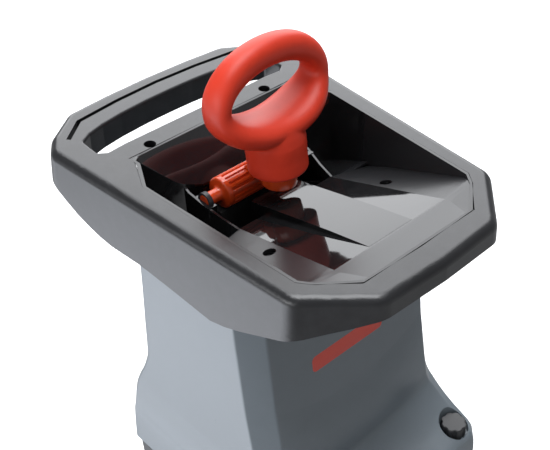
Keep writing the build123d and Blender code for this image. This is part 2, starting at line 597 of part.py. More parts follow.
# ---------------------------------------------------------------- hand screws
for tag, side in NAMED_SIDES:
    knob = knob_rod(side, KNOB_FLOOR + 0.3, KNOB_FLOOR + 16, 13.5)
    for i in range(8):
        angle = 2 * math.pi * i / 8
        knob = knob - rod_z(side * KNOB_X + 15.5 * math.cos(angle),
                            KNOB_Y + 15.5 * math.sin(angle),
                            KNOB_FLOOR - 2, KNOB_FLOOR + 20, 3.4)
    knob = fillet(knob.faces().sort_by(Axis.Z)[-1].edges(), 1.2)
    knob = knob - knob_rod(side, KNOB_FLOOR - 4, KNOB_FLOOR + 10, STUD_R + 0.02)
    save(f"locking_knob_{tag}", knob)
    save(f"locking_stud_{tag}", knob_rod(side, 566, KNOB_FLOOR + 10, STUD_R))

# ---------------------------------------------------------------- switch box on the right side
BUTTONS = {     # y, z, radius
    "start_button": (-44, 558, 9.0),
    "stop_button": (-14, 558, 9.0),
    "reset_button": (8, 558, 4.5),
}
INLET_X, INLET_Z = 138.5, 545
switch_box = box(115, 151, -66, 26, 522, 584) - base_outer
switch_box = fillet(switch_box.edges().filter_by(lambda edge: edge.center().X > 140), 5)
housing_side = ruled([rounded_rectangle(SPLIT_Z + 5, 129.3, -175, 115, 18),
                      rounded_rectangle(500, 126.3, -170, 110, 20)])
switch_box = switch_box - (box(115, 147.5, -62, 22, 526, 580) - housing_side)
for y, z, radius in BUTTONS.values():
    switch_box = switch_box - rod_x(140, 160, y, z, radius + 0.4)
switch_box = switch_box - Pos(INLET_X, 26, INLET_Z) * Box(14, 20, 18)
save("switch_box", largest(switch_box))

for name, (y, z, radius) in BUTTONS.items():
    button = rod_x(141, 155.0, y, z, radius) + rod_x(141, 143, y, z, radius + 2.0)
    outer_edge = button.edges().filter_by(GeomType.CIRCLE).sort_by(Axis.X)[-1]
    save(name, fillet(outer_edge, 1.2))

inlet = Pos(INLET_X, 25, INLET_Z) * Box(13.6, 17, 17.6)
inlet = inlet - (Pos(INLET_X, 30, INLET_Z) * Box(10.6, 14, 14.6))
inlet = inlet + [Pos(INLET_X + x, 27.5, INLET_Z + z) * Box(1.6, 9.6, 3.6)
                 for x, z in ((-3.2, -3), (3.2, -3), (0, 3.4))]
save("mains_inlet", inlet)

# ---------------------------------------------------------------- stand
LEG_BEND = 42
leg_cores = {}      # solid legs, used to cut the parts that meet them
for tag, side in NAMED_SIDES:
    path = FilletPolyline(
        (side * 205, -260, 30), (side * LEG_X, -115, LEG_TOP), (side * LEG_X, 75, LEG_TOP),
        (side * 192.6, 201.1, 74.5), radius=LEG_BEND).wire()
    start_plane = Plane(origin=path @ 0, z_dir=path % 0)
    leg_cores[side] = sweep(start_plane * Circle(LEG_R), path=path)
    leg = leg_cores[side] - sweep(start_plane * Circle(LEG_R - LEG_WALL), path=path)
    for y in LEG_BOLT_Y:
        leg = leg - rod_x(side * 120, side * 155, y, LEG_TOP, LEG_HOLE_R)
    leg = leg - rod_x(side * 170, side * 215, AXLE_Y, AXLE_Z, AXLE_R + 0.02)
    save(f"stand_leg_{tag}", leg)

    # the foot hugs the end of the leg
    foot = rod_z(side * FOOT_X, FOOT_Y, 0, 44, 19.5)
    foot = fillet(foot.edges().sort_by(Axis.Z)[-1], 6)
    foot = fillet(foot.edges().sort_by(Axis.Z)[0], 3)
    save(f"foot_{tag}", largest(foot - leg_cores[side]))

save("stand_bolts", [
    rod_x(side * 151.0, side * 155.0, y, LEG_TOP, 6.0)
    + rod_x(side * 118, side * 152, y, LEG_TOP, LEG_HOLE_R - 0.1)
    for side in SIDES for y in LEG_BOLT_Y])
front_bar = (rod_x(-190, 190, -232.2, 120, 9.0) - rod_x(-191, 191, -232.2, 120, 7.8)
             - leg_cores[1] - leg_cores[-1])
save("front_crossbar", largest(front_bar))
save("axle", rod_x(-262, 262, AXLE_Y, AXLE_Z, AXLE_R))

# ---------------------------------------------------------------- wheels
TREAD_NOTCHES = 24
for tag, side in NAMED_SIDES:
    rim = (wheel_rod(side, -17, 17, TREAD_R) - wheel_rod(side, -18, 18, 62)
           + wheel_rod(side, -3, 3, 64) + wheel_rod(side, -22, 22, 13))
    for i in range(6):
        angle = math.pi * i / 3
        rim = rim - rod_x(side * (WHEEL_X - 6), side * (WHEEL_X + 6),
                          AXLE_Y + 39 * math.cos(angle), AXLE_Z + 39 * math.sin(angle), 14)
    save(f"wheel_rim_{tag}", rim - wheel_rod(side, -30, 30, AXLE_R + RUN))

    tyre = wheel_rod(side, -20, 20, WHEEL_R) - wheel_rod(side, -30, 30, TREAD_R)
    outer_edges = tyre.edges().filter_by(GeomType.CIRCLE).filter_by(
        lambda edge: abs(edge.radius - WHEEL_R) < 0.01)
    tyre = fillet(outer_edges, 7)
    for i in range(TREAD_NOTCHES):
        turn = Pos(side * WHEEL_X, AXLE_Y, AXLE_Z) * Rot(360 * i / TREAD_NOTCHES, 0, 0)
        tyre = tyre - turn * (Pos(0, 0, WHEEL_R + 1.0) * Box(60, 6, 6))
    save(f"tyre_{tag}", tyre)

    end_bore_r = AXLE_R + 0.02
    save(f"axle_washer_{tag}", wheel_rod(side, -26.0, -24.2, 11)
         - wheel_rod(side, -30, -20, AXLE_R + 0.03))
    save(f"hub_cap_{tag}", wheel_rod(side, 23.5, 33.0, 12)
         - wheel_rod(side, 20, 30.01, end_bore_r))

# ---------------------------------------------------------------- housing screws (underside)
save("housing_screws", [rod_z(x, y, 392, 395, 4.5) + rod_z(x, y, 394, 410, 2.0)
                        for x, y in ((-78, -112), (78, -112), (-78, 52), (78, 52))])
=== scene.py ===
"""Motor-driven disc cutter with a tray, a feed funnel and a pusher, on a wheeled stand.

The column, the pusher's handle and its hub are rebuilt in detail, two webs are added to
the tray, and everything gets materials and soft edges. +Z is up, the floor is z = 0, the
front faces -Y and x = 0 is the middle plane. Pieces are drawn in millimetres and stored in
metres; shaders, floor and camera use metres.
"""
import bpy
import bmesh
import json
import math
import numpy as np
from functools import cached_property
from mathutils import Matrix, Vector


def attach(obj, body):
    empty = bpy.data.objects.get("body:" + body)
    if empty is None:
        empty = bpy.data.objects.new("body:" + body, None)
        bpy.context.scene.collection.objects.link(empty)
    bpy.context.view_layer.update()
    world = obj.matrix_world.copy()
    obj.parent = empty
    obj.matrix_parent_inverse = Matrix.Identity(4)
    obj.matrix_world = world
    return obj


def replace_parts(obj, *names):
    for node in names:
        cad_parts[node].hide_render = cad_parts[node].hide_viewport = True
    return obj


MM = 0.001
RIM = 950.0             # height of the deck
SPLIT_Z = 590.0         # height where the column meets the base
KNOB_X, KNOB_Y = 103.0, -148.0
STEM_Y = 11.0           # the pusher's upright stem, at x = 0

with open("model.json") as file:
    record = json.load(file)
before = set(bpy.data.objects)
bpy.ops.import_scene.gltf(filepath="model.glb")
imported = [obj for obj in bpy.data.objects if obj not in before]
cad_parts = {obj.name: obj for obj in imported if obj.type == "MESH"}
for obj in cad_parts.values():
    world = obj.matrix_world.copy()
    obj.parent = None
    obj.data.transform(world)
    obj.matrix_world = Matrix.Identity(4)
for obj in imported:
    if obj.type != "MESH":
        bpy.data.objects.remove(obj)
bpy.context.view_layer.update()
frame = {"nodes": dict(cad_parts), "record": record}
scene = bpy.context.scene
nodes = frame["nodes"]


# ============================================================ shader graph helper
class Graph:
    """Builds one node tree; values may be sockets or constants."""

    def __init__(self, tree):
        self.nodes = tree.nodes
        self.links = tree.links

    def new(self, kind, **settings):
        node = self.nodes.new(kind)
        for key, value in settings.items():
            setattr(node, key, value)
        return node

    def feed(self, socket, value):
        if isinstance(value, bpy.types.NodeSocket):
            self.links.new(value, socket)
        else:
            socket.default_value = value

    @cached_property
    def coords(self):
        return self.new("ShaderNodeTexCoord").outputs

    @cached_property
    def geometry(self):
        return self.new("ShaderNodeNewGeometry").outputs

    def math(self, operation, a, b=None, clamp=False):
        node = self.new("ShaderNodeMath", operation=operation, use_clamp=clamp)
        self.feed(node.inputs[0], a)
        if b is not None:
            self.feed(node.inputs[1], b)
        return node.outputs[0]

    def add(self, a, b, clamp=False):
        return self.math("ADD", a, b, clamp)

    def sub(self, a, b):
        return self.math("SUBTRACT", a, b)

    def mul(self, a, b, clamp=False):
        return self.math("MULTIPLY", a, b, clamp)

    def dot(self, a, b):
        node = self.new("ShaderNodeVectorMath", operation="DOT_PRODUCT")
        self.feed(node.inputs[0], a)
        self.feed(node.inputs[1], tuple(b))
        return node.outputs["Value"]

    def length(self, a):
        node = self.new("ShaderNodeVectorMath", operation="LENGTH")
        self.feed(node.inputs[0], a)
        return node.outputs["Value"]

    def xyz(self, vector):
        node = self.new("ShaderNodeSeparateXYZ")
        self.feed(node.inputs[0], vector)
        return node.outputs

    def ramp(self, value, start, end, low=0.0, high=1.0):
        """Smooth step from low at start to high at end."""
        node = self.new("ShaderNodeMapRange", interpolation_type="SMOOTHSTEP")
        inputs = (("Value", value), ("From Min", start), ("From Max", end),
                  ("To Min", low), ("To Max", high))
        for key, setting in inputs:
            self.feed(node.inputs[key], setting)
        return node.outputs["Result"]

    def noise(self, vector, scale, detail, roughness=0.5):
        node = self.new("ShaderNodeTexNoise")
        inputs = (("Scale", scale), ("Detail", detail), ("Roughness", roughness),
                  ("Vector", vector))
        for key, setting in inputs:
            self.feed(node.inputs[key], setting)
        return node.outputs["Fac"]

    def mix(self, factor, a, b):
        node = self.new("ShaderNodeMix", data_type="RGBA")
        self.feed(node.inputs["Factor"], factor)
        for index, color in ((6, a), (7, b)):
            if isinstance(color, tuple):
                color = (*color, 1)
            self.feed(node.inputs[index], color)
        return node.outputs[2]


# ============================================================ materials
def scratch_height(graph, depth, drift):
    """Long thin cracks of a stretched Voronoi pattern, in patches."""
    cells = graph.new("ShaderNodeTexVoronoi", feature="DISTANCE_TO_EDGE")
    cells.inputs["Scale"].default_value = 120.0
    mapping = graph.new("ShaderNodeMapping")
    mapping.inputs["Scale"].default_value = (1.0, 0.12, 1.0)
    mapping.inputs["Rotation"].default_value = (0.2, 0.4, 0.9)
    graph.feed(mapping.inputs["Vector"], graph.coords["Object"])
    graph.feed(cells.inputs["Vector"], mapping.outputs["Vector"])
    lines = graph.ramp(cells.outputs["Distance"], start=0.0, end=0.03, low=depth, high=0.0)
    return graph.mul(lines, graph.ramp(drift, start=0.45, end=0.62))


def grain_height(graph, scale, stretch):
    place = graph.coords["Object"]
    if stretch:
        mapping = graph.new("ShaderNodeMapping")
        graph.feed(mapping.inputs["Vector"], place)
        mapping.inputs["Scale"].default_value = stretch
        place = mapping.outputs["Vector"]
    fine = graph.noise(place, scale=scale, detail=2.0, roughness=0.6)
    return graph.mul(fine, 1.0)     # gain on the grain


def material(name, color, rough, metallic=0.0, grain=0.0, grain_scale=900.0, stretch=None,
             rough_var=0.06, tone_var=0.06, wear=0.0, wear_color=None, coat=0.0,
             coat_rough=0.05, spec=0.5, ior=1.5, scratches=0.0, zones=None):
    """Principled material with drifting tone and roughness, worn edges, grain and scratches.

    zones(graph, tone, roughness) may repaint parts of the surface.
    """
    mat = bpy.data.materials.new(name)
    mat.use_nodes = True
    mat.diffuse_color = (*color, 1)
    graph = Graph(mat.node_tree)
    bsdf = graph.nodes["Principled BSDF"]
    place = graph.coords["Object"]
    drift = graph.noise(place, scale=14.0, detail=3.0)
    mottle = graph.noise(place, scale=85.0, detail=4.0, roughness=0.6)

    dark = tuple(c * (1 - tone_var) for c in color)
    light = tuple(min(1.0, c * (1 + tone_var) + 0.002) for c in color)
    blend = graph.add(graph.mul(drift, 0.65), graph.mul(mottle, 0.35))
    tone = graph.mix(graph.ramp(blend, start=0.35, end=0.65), dark, light)
    if wear:
        edge = graph.ramp(graph.geometry["Pointiness"], start=0.515, end=0.60)
        worn = graph.mul(edge, graph.ramp(mottle, start=0.35, end=0.7), clamp=True)
        worn_color = wear_color or tuple(min(1.0, c * 1.6 + 0.05) for c in color)
        tone = graph.mix(graph.mul(worn, wear), tone, worn_color)

    spread = graph.add(graph.mul(drift, 0.5), graph.mul(mottle, 0.5))
    offset = graph.mul(graph.sub(spread, 0.5), rough_var * 3.0)
    roughness = graph.add(offset, rough, clamp=True)
    if zones:
        tone, roughness = zones(graph, tone, roughness)
    graph.feed(bsdf.inputs["Base Color"], tone)
    graph.feed(bsdf.inputs["Roughness"], roughness)
    bsdf.inputs["Metallic"].default_value = metallic
    bsdf.inputs["IOR"].default_value = ior
    bsdf.inputs["Specular IOR Level"].default_value = spec
    if coat:
        bsdf.inputs["Coat Weight"].default_value = coat
        bsdf.inputs["Coat Roughness"].default_value = coat_rough

    height = grain_height(graph, grain_scale, stretch) if grain else None
    if scratches:
        lines = scratch_height(graph, scratches, drift)
        height = graph.sub(height, lines) if height else lines
    if height:
        bump = graph.new("ShaderNodeBump")
        bump.inputs["Strength"].default_value = grain or 0.2
        bump.inputs["Distance"].default_value = 0.00025
        graph.feed(bump.inputs["Height"], height)
        graph.feed(bsdf.inputs["Normal"], bump.outputs["Normal"])
    return mat


def funnel_zones(graph, tone, roughness):
    """Polished on the ramp and in the throat, satin on the front lip and front shoulders."""
    x, y, z = graph.xyz(graph.coords["Object"])
    across = graph.math("ABSOLUTE", x)
    # the ramp's edge runs from 68.3 mm at y = -126 to 57.7 mm at y = 0
    ramp_edge = graph.add(graph.mul(y, -0.084), 0.0577)
    outside = graph.ramp(graph.sub(across, ramp_edge), start=-0.0004, end=0.0008)
    front = graph.ramp(y, start=0.020, end=0.004)
    lip = graph.ramp(y, start=-0.1252, end=-0.1262)
    high = graph.ramp(z, start=0.9492, end=0.9498)
    shoulders = graph.mul(outside, front)
    satin = graph.math("MAXIMUM", graph.math("MAXIMUM", shoulders, lip), high, clamp=True)
    satin_color, extra_rough = (0.0095, 0.0098, 0.011), 0.30
    roughness = graph.add(graph.mul(satin, extra_rough), roughness)
    return graph.mix(satin, tone, satin_color), roughness


def column_print(graph, tone, roughness):
    """A plain printed bar with round corners on the front of the column."""
    centre_x, centre_z = -0.004, 0.792
    core_x, core_z = 0.042, 0.0040      # half sizes of the bar without its round border
    bar_color, gloss = (0.60, 0.045, 0.022), 0.08
    x, _, z = graph.xyz(graph.coords["Object"])
    facing_y = graph.xyz(graph.geometry["Normal"])["Y"]
    away_x = graph.sub(graph.math("ABSOLUTE", graph.add(x, -centre_x)), core_x)
    away_x = graph.math("MAXIMUM", away_x, 0.0)
    away_z = graph.sub(graph.math("ABSOLUTE", graph.sub(z, centre_z)), core_z)
    away_z = graph.math("MAXIMUM", away_z, 0.0)
    squares = graph.add(graph.mul(away_x, away_x), graph.mul(away_z, away_z))
    inside = graph.ramp(graph.math("SQRT", squares), start=0.0050, end=0.0046)
    facing = graph.ramp(facing_y, start=-0.5, end=-0.7)
    bar = graph.mul(inside, facing, clamp=True)
    return graph.mix(bar, tone, bar_color), graph.sub(roughness, graph.mul(bar, gloss))


MATERIALS = {
    "tray": material(
        "tray_satin_black", color=(0.0080, 0.0082, 0.0095), rough=0.31, grain=0.20,
        grain_scale=1500, rough_var=0.03, tone_var=0.10, wear=0.10,
        wear_color=(0.05, 0.05, 0.055), spec=0.55),
    "funnel": material(
        "funnel_polished_black", color=(0.006, 0.006, 0.0065), rough=0.045, rough_var=0.010,
        tone_var=0.10, spec=0.6, scratches=0.06, ior=1.52, zones=funnel_zones),
    "column": material(
        "housing_blue_grey", color=(0.130, 0.152, 0.170), rough=0.30, grain=0.22,
        grain_scale=1300, rough_var=0.05, tone_var=0.03, wear=0.12, zones=column_print),
    "red_grip": material(
        "grip_soft_red", color=(0.50, 0.030, 0.011), rough=0.42, grain=0.10,
        grain_scale=1800, rough_var=0.04, wear=0.10, wear_color=(0.62, 0.10, 0.06),
        spec=0.30),
    "red_gloss": material(
        "hub_gloss_red", color=(0.62, 0.060, 0.010), rough=0.20, rough_var=0.04,
        tone_var=0.05, coat=0.3, coat_rough=0.06, scratches=0.06),
    "base": material(
        "base_black", color=(0.012, 0.0125, 0.014), rough=0.45, grain=0.28,
        grain_scale=1200, rough_var=0.05, tone_var=0.10, wear=0.25,
        wear_color=(0.09, 0.09, 0.10)),
    # painted shade: near-black steel for the screws in the tray's wells, standing in for the
    # shade down the wells
    "screw_painted_shade": material(
        "screw_steel_painted_shade", color=(0.045, 0.045, 0.048), rough=0.42, metallic=0.9, grain=0.2,
        rough_var=0.10, tone_var=0.10),
    "rubber": material(
        "rubber_black", color=(0.022, 0.022, 0.022), rough=0.72, grain=0.55,
        grain_scale=700, tone_var=0.15, wear=0.3, wear_color=(0.07, 0.07, 0.07)),
    "tyre": material(
        "tyre_black", color=(0.024, 0.024, 0.024), rough=0.78, grain=0.6, grain_scale=600,
        tone_var=0.18, wear=0.35, wear_color=(0.08, 0.078, 0.072)),
    "steel": material(
        "ground_steel", color=(0.58, 0.58, 0.59), rough=0.34, metallic=1.0, grain=0.20,
        grain_scale=500, stretch=(1, 0.06, 1), rough_var=0.04, tone_var=0.05,
        scratches=0.06),
    "zinc": material(
        "zinc_plate", color=(0.45, 0.45, 0.42), rough=0.36, metallic=1.0, grain=0.2,
        rough_var=0.12, tone_var=0.08),
    "iron": material(
        "laminated_iron", color=(0.16, 0.16, 0.165), rough=0.5, metallic=0.8, grain=0.8,
        stretch=(0.02, 0.02, 1.6), tone_var=0.12),
    "alloy": material(
        "cast_alloy", color=(0.55, 0.56, 0.57), rough=0.42, metallic=1.0, grain=0.6,
        grain_scale=420),
    "paint": material(
        "stand_powder_coat", color=(0.016, 0.0165, 0.018), rough=0.36, grain=0.35,
        grain_scale=850, rough_var=0.04, wear=0.18, wear_color=(0.12, 0.12, 0.12),
        coat=0.15, coat_rough=0.2),
    "green": material(
        "button_green", color=(0.015, 0.26, 0.05), rough=0.28, grain=0.05, tone_var=0.05,
        coat=0.25),
    "red_button": material(
        "button_red", color=(0.55, 0.015, 0.010), rough=0.28, grain=0.05, tone_var=0.05,
        coat=0.25),
}

SLOT_MATERIAL = {
    "tray_black": "tray", "funnel_gloss": "funnel", "housing_grey": "column",
    "base_black": "base", "red_grip": "red_grip", "red_gloss": "red_gloss",
    "bush_black": "base", "bush_white": "base", "pad_black": "rubber", "steel": "steel",
    "zinc": "zinc", "motor_iron": "iron", "alloy": "alloy", "stand_paint": "paint",
    "foot_rubber": "rubber", "tyre": "tyre", "button_green": "green",
    "button_red": "red_button",
}


def dress(mesh, mat):
    mesh.materials.clear()
    mesh.materials.append(MATERIALS[mat])


node_slot = {part["node"]: part["material_slot"] for part in frame["record"]["subparts"]}
for node_name, node_object in nodes.items():
    dress(node_object.data, SLOT_MATERIAL[node_slot[node_name]])
# painted shade: the screws get near-black steel so the wells around them read as dark shade
dress(nodes["hopper_screws"].data, "screw_painted_shade")    # not the material of their slot


# ============================================================ mesh helpers
def smooth(start, end, x):
    t = min(1.0, max(0.0, (x - start) / (end - start)))
    return t * t * (3 - 2 * t)


def pchip(table, x):
    """Monotone cubic through the table's points, without overshoot."""
    xs, ys = np.asarray(table, float).T
    step = np.diff(xs)
    slope = np.diff(ys) / step
    tangent = np.zeros(len(xs))
    for i in range(1, len(xs) - 1):
        if slope[i - 1] * slope[i] > 0:
            w1, w2 = 2 * step[i] + step[i - 1], step[i] + 2 * step[i - 1]
            tangent[i] = (w1 + w2) / (w1 / slope[i - 1] + w2 / slope[i])
    tangent[0], tangent[-1] = slope[0], slope[-1]
    x = np.clip(x, xs[0], xs[-1])
    i = np.clip(np.searchsorted(xs, x) - 1, 0, len(xs) - 2)
    t = (x - xs[i]) / step[i]
    return float((2 * t**3 - 3 * t**2 + 1) * ys[i]
                 + (t**3 - 2 * t**2 + t) * step[i] * tangent[i]
                 + (-2 * t**3 + 3 * t**2) * ys[i + 1]
                 + (t**3 - t**2) * step[i] * tangent[i + 1])


def full_turn(count):
    return [2 * math.pi * i / count for i in range(count)]


def raw(name, verts, faces):
    """Object from vertices in metres, with its normals outward."""
    mesh = bpy.data.meshes.new(name)
    mesh.from_pydata([tuple(v) for v in verts], [], faces)
    bm = bmesh.new()
    bm.from_mesh(mesh)
    bmesh.ops.recalc_face_normals(bm, faces=bm.faces)
    bm.to_mesh(mesh)
    bm.free()
    ob = bpy.data.objects.new(name, mesh)
    scene.collection.objects.link(ob)
    return ob


def ring_grid(rows):
    """Vertices and quads of a skin through equally long closed loops."""
    n = len(rows[0])
    faces = []
    for i in range(len(rows) - 1):
        for j in range(n):
            k = (j + 1) % n
            faces.append((i * n + j, i * n + k, (i + 1) * n + k, (i + 1) * n + j))
    return [point for row in rows for point in row], faces


def tube(rows, name="tool"):
    """Skin through the loops, closed by a flat cap at each end."""
    verts, faces = ring_grid(rows)
    n = len(rows[0])
    faces.append(tuple(reversed(range(n))))
    faces.append(tuple(range((len(rows) - 1) * n, len(rows) * n)))
    return raw(name, verts, faces)


def prism(loops, name="tool"):
    """Solid between two equal outlines (mm)."""
    verts = [Vector(point) * MM for loop in loops for point in loop]
    k = len(loops[0])
    faces = [tuple(range(k)), tuple(reversed(range(k, 2 * k)))]
    faces += [(i, (i + 1) % k, k + (i + 1) % k, k + i) for i in range(k)]
    return raw(name, verts, faces)


def oval_loop(half_x, half_y, centre_y, z, count):
    """Level oval (mm) at z above the deck."""
    return [(half_x * math.cos(t) * MM, (centre_y + half_y * math.sin(t)) * MM,
             (RIM + z) * MM) for t in full_turn(count)]


def cylinder(start, end, radius, count):
    """Closed cylinder between two points (mm)."""
    start, end = Vector(start) * MM, Vector(end) * MM
    axis = (end - start).normalized()
    u = axis.orthogonal().normalized()
    w = axis.cross(u)
    return tube([[centre + (u * math.cos(t) + w * math.sin(t)) * radius * MM
                  for t in full_turn(count)] for centre in (start, end)])


def box(x0, x1, y0, y1, z0, z1):
    verts = [Vector((x, y, z)) * MM for z in (z0, z1)
             for x, y in ((x0, y0), (x1, y0), (x1, y1), (x0, y1))]
    faces = [(0, 3, 2, 1), (4, 5, 6, 7), (0, 1, 5, 4), (1, 2, 6, 5), (2, 3, 7, 6),
             (3, 0, 4, 7)]
    return raw("tool", verts, faces)


def bake_modifiers(ob):
    depsgraph = bpy.context.evaluated_depsgraph_get()
    mesh = bpy.data.meshes.new_from_object(ob.evaluated_get(depsgraph), depsgraph=depsgraph)
    ob.modifiers.clear()
    old = ob.data
    ob.data = mesh
    bpy.data.meshes.remove(old)


def bake_bevel(ob, width, segments, angle=None):
    modifier = ob.modifiers.new("edge", "BEVEL")
    modifier.width = width * MM
    modifier.segments = segments
    if angle is not None:
        modifier.limit_method = "ANGLE"
        modifier.angle_limit = math.radians(angle)
    bake_modifiers(ob)


def boolean(ob, tool, operation):
    """Applies the tool to the object and deletes the tool."""
    modifier = ob.modifiers.new("boolean", "BOOLEAN")
    modifier.object = tool
    modifier.operation = operation
    modifier.solver = "EXACT"
    bake_modifiers(ob)
    mesh = tool.data
    bpy.data.objects.remove(tool)
    bpy.data.meshes.remove(mesh)


def cut(ob, tool):
    boolean(ob, tool, "DIFFERENCE")


def join(ob, tool):
    boolean(ob, tool, "UNION")


def finish_piece(ob, mat, body, angle):
    """Material, smooth shading with sharp edges above the angle, body and slot."""
    mesh = ob.data
    dress(mesh, mat)
    for polygon in mesh.polygons:
        polygon.material_index = 0
    mesh.polygons.foreach_set("use_smooth", [True] * len(mesh.polygons))
    mesh.set_sharp_from_angle(angle=math.radians(angle))
    mesh.update()
    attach(ob, body)
    return ob


bpy.context.view_layer.update()

# ============================================================ column
# Profiles of the upper housing: (height from the deck, value), mm
FRONT_Y = [     # front face at the corner
    (-361, -170), (-335, -169), (-320, -166.5), (-314.5, -162), (-310, -153.5),
    (-303, -139.5), (-294.7, -126.5), (-285, -115), (-276, -107.5), (-266, -105),
    (-255, -104), (-235, -101.3), (-205, -96), (-185, -91.8), (-173, -89.6),
    (-100, -79.6), (-45, -73.6), (-30, -72)]
CHAMFER = [     # width of the chamfer at the front corners
    (-361, 10), (-303, 10), (-294.7, 10.5), (-285, 11.5), (-276, 14), (-266, 16),
    (-255, 17.5), (-235, 19.2), (-205, 20), (-20, 20)]
REAR_Y = [      # rear face
    (-361, 109), (-346, 109), (-322, 109), (-297, 107.5), (-275, 103.5), (-262, 98.5),
    (-244, 89.5), (-226, 82.5), (-216, 79.5), (-173, 78.3), (-100, 76.6), (-80, 78.5),
    (-62, 84), (-45, 92), (-34, 98)]
HALF_WIDTH = [  # side faces
    (-361, 126), (-335, 125.3), (-320, 124.5), (-310, 123), (-303, 122.2), (-295, 121.5),
    (-285, 121), (-276, 120.7), (-266, 120.3), (-173, 120), (-90, 120), (-60, 120.6),
    (-34, 121.5)]

# The front leans in a straight line from the crease up to the start of the top curve
CREASE_Z, CREASE_Y = -185.0, -91.8
LEAN_TOP_Z, LEAN_TOP_Y = -100, -79.6
LEAN = (CREASE_Y - LEAN_TOP_Y) / (CREASE_Z - LEAN_TOP_Z)
SAG = 23.0              # how far the crease hangs in the middle
BULGE = 2.6             # forward swell of the front below the crease
FRONT_LIMIT_Y = -170.2
FRONT_HALF = 100.0      # half width over which the sag fades out
WALL = 3.2

FRONT_STEPS, SIDE_STEPS, REAR_STEPS, FILLET_STEPS = 32, 20, 15, 6   # per half outline
FRONT_FILLET, REAR_FILLET = 4.5, 6.0
MIN_FILLET = 1.5
FILLET_SHRINK = 0.8     # fillet radius lost per mm of inset
CHAMFER_SHRINK = 0.586  # chamfer lost per mm of inset: 2 - sqrt 2
FILLET_REACH = 0.4142   # tangent length over radius at a 45 degree turn

# Row heights from the deck of the outer and the inner skin
OUTER_ROWS = (
    [-34, -38, -42] + [float(z) for z in np.arange(-48, -180, -6.0)]
    + [-181, -183, -184.2, -185, -185.8, -187, -189, -192]
    + [float(z) for z in np.arange(-196, -262, -4.0)]
    + [float(z) for z in np.arange(-263, -322, -1.5)]
    + [-323, -327, -333, -341, -350, -357.5, -359.2, -359.9])
INNER_ROWS = [-30] + [z for z in OUTER_ROWS if z > -352][1:] + [-352.4]


def front_point(x, z):
    """(y, z) of the front at x on row z; rows sag so that one follows the crease."""
    across = min(abs(x), FRONT_HALF) / FRONT_HALF
    weight = smooth(-60, -165, z) * (1 - smooth(-225, -350, z))
    sag = SAG * (1 - across * across)
    sunk_z = z - sag * weight
    y = pchip(FRONT_Y, z)
    if z < CREASE_Z:
        y += (-sag) * LEAN * weight
        swell = smooth(-185, -222, z) * (1 - smooth(-240, -330, z))
        y -= BULGE * (1 - across * across) * swell
    elif sunk_z < LEAN_TOP_Z:
        y = LEAN_TOP_Y + (sunk_z - LEAN_TOP_Z) * LEAN
    return max(y, FRONT_LIMIT_Y), sunk_z


def fillet(before, corner, after, radius, z):
    """Rounds a corner of the outline at height z."""
    corner = Vector(corner)
    a = (Vector(before) - corner).normalized()
    b = (Vector(after) - corner).normalized()
    half = a.angle(b) / 2
    reach = radius / math.tan(half)
    start, end = corner + a * reach, corner + b * reach
    centre = corner + (a + b).normalized() * (radius / math.sin(half))
    from_centre, to_centre = start - centre, end - centre
    points = []
    for k in range(FILLET_STEPS + 1):
        t = k / FILLET_STEPS
        spoke = (from_centre * (1 - t) + to_centre * t).normalized() * radius
        points.append(tuple(centre + spoke) + (z,))
    return points


def column_outline(z, inset):
    """Outline of the column on row z, moved inward by the inset."""
    side = pchip(HALF_WIDTH, z) - inset
    rear = pchip(REAR_Y, z) - inset
    chamfer = pchip(CHAMFER, z) - CHAMFER_SHRINK * inset
    front = front_point(FRONT_HALF, z)[0] + inset
    radius = max(MIN_FILLET, FRONT_FILLET - inset * FILLET_SHRINK)
    rear_radius = max(MIN_FILLET, REAR_FILLET - inset * FILLET_SHRINK)

    front_end = side - chamfer - radius * FILLET_REACH - 0.5
    right = []
    for i in range(FRONT_STEPS + 1):
        x = front_end * i / FRONT_STEPS
        y, sunk_z = front_point(x * FRONT_HALF / front_end, z)
        right.append((x, y + inset, sunk_z))
    chamfer_start, chamfer_end = (side - chamfer, front), (side, front + chamfer)
    right += fillet((0, front), chamfer_start, chamfer_end, radius, z)
    right += fillet(chamfer_start, chamfer_end, (side, rear), radius, z)
    side_start = right[-1][1]
    for i in range(1, SIDE_STEPS):
        y = side_start + (rear - rear_radius - side_start) * i / SIDE_STEPS
        right.append((side, y, z))
    right += fillet((side, 0), (side, rear), (0, rear), rear_radius, z)
    rear_end = side - rear_radius
    for i in range(1, REAR_STEPS + 1):
        right.append((rear_end * (1 - i / REAR_STEPS), rear, z))
    left = [(-x, y, row_z) for x, y, row_z in reversed(right[1:-1])]
    return right + left


def column_solid(name, heights, inset=0.0, thick=False):
    """Solid column; thick insets it further around the flare."""
    rows = []
    for z in heights:
        extra = 1.4 * smooth(-270, -285, z) * (1 - smooth(-312, -325, z)) if thick else 0.0
        rows.append([(x * MM, y * MM, (RIM + row_z) * MM)
                     for x, y, row_z in column_outline(z, inset + extra)])
    verts, faces = ring_grid(rows)
    n, last = len(rows[0]), (len(rows) - 1) * len(rows[0])
    top, bottom = len(verts), len(verts) + 1
    verts += [(0, -0.02, (RIM + z) * MM) for z in (heights[0], heights[-1])]
    for j in range(n):
        k = (j + 1) % n
        faces.append((j, k, top))
        faces.append((last + k, last + j, bottom))
    return raw(name, verts, faces)


def add_knob_cup(column, x):
    """Cup for a locking knob, trimmed to the column's outside, with its bore and hole."""
    cup = cylinder((x, KNOB_Y, 626), (x, KNOB_Y, 700), radius=20.0, count=96)
    boolean(cup, column_solid("tool", OUTER_ROWS, inset=0.02), "INTERSECT")
    join(column, cup)
    cut(column, cylinder((x, KNOB_Y, 629), (x, KNOB_Y, 720), radius=16.0, count=96))
    cut(column, cylinder((x, KNOB_Y, 585), (x, KNOB_Y, 640), radius=4.6, count=32))


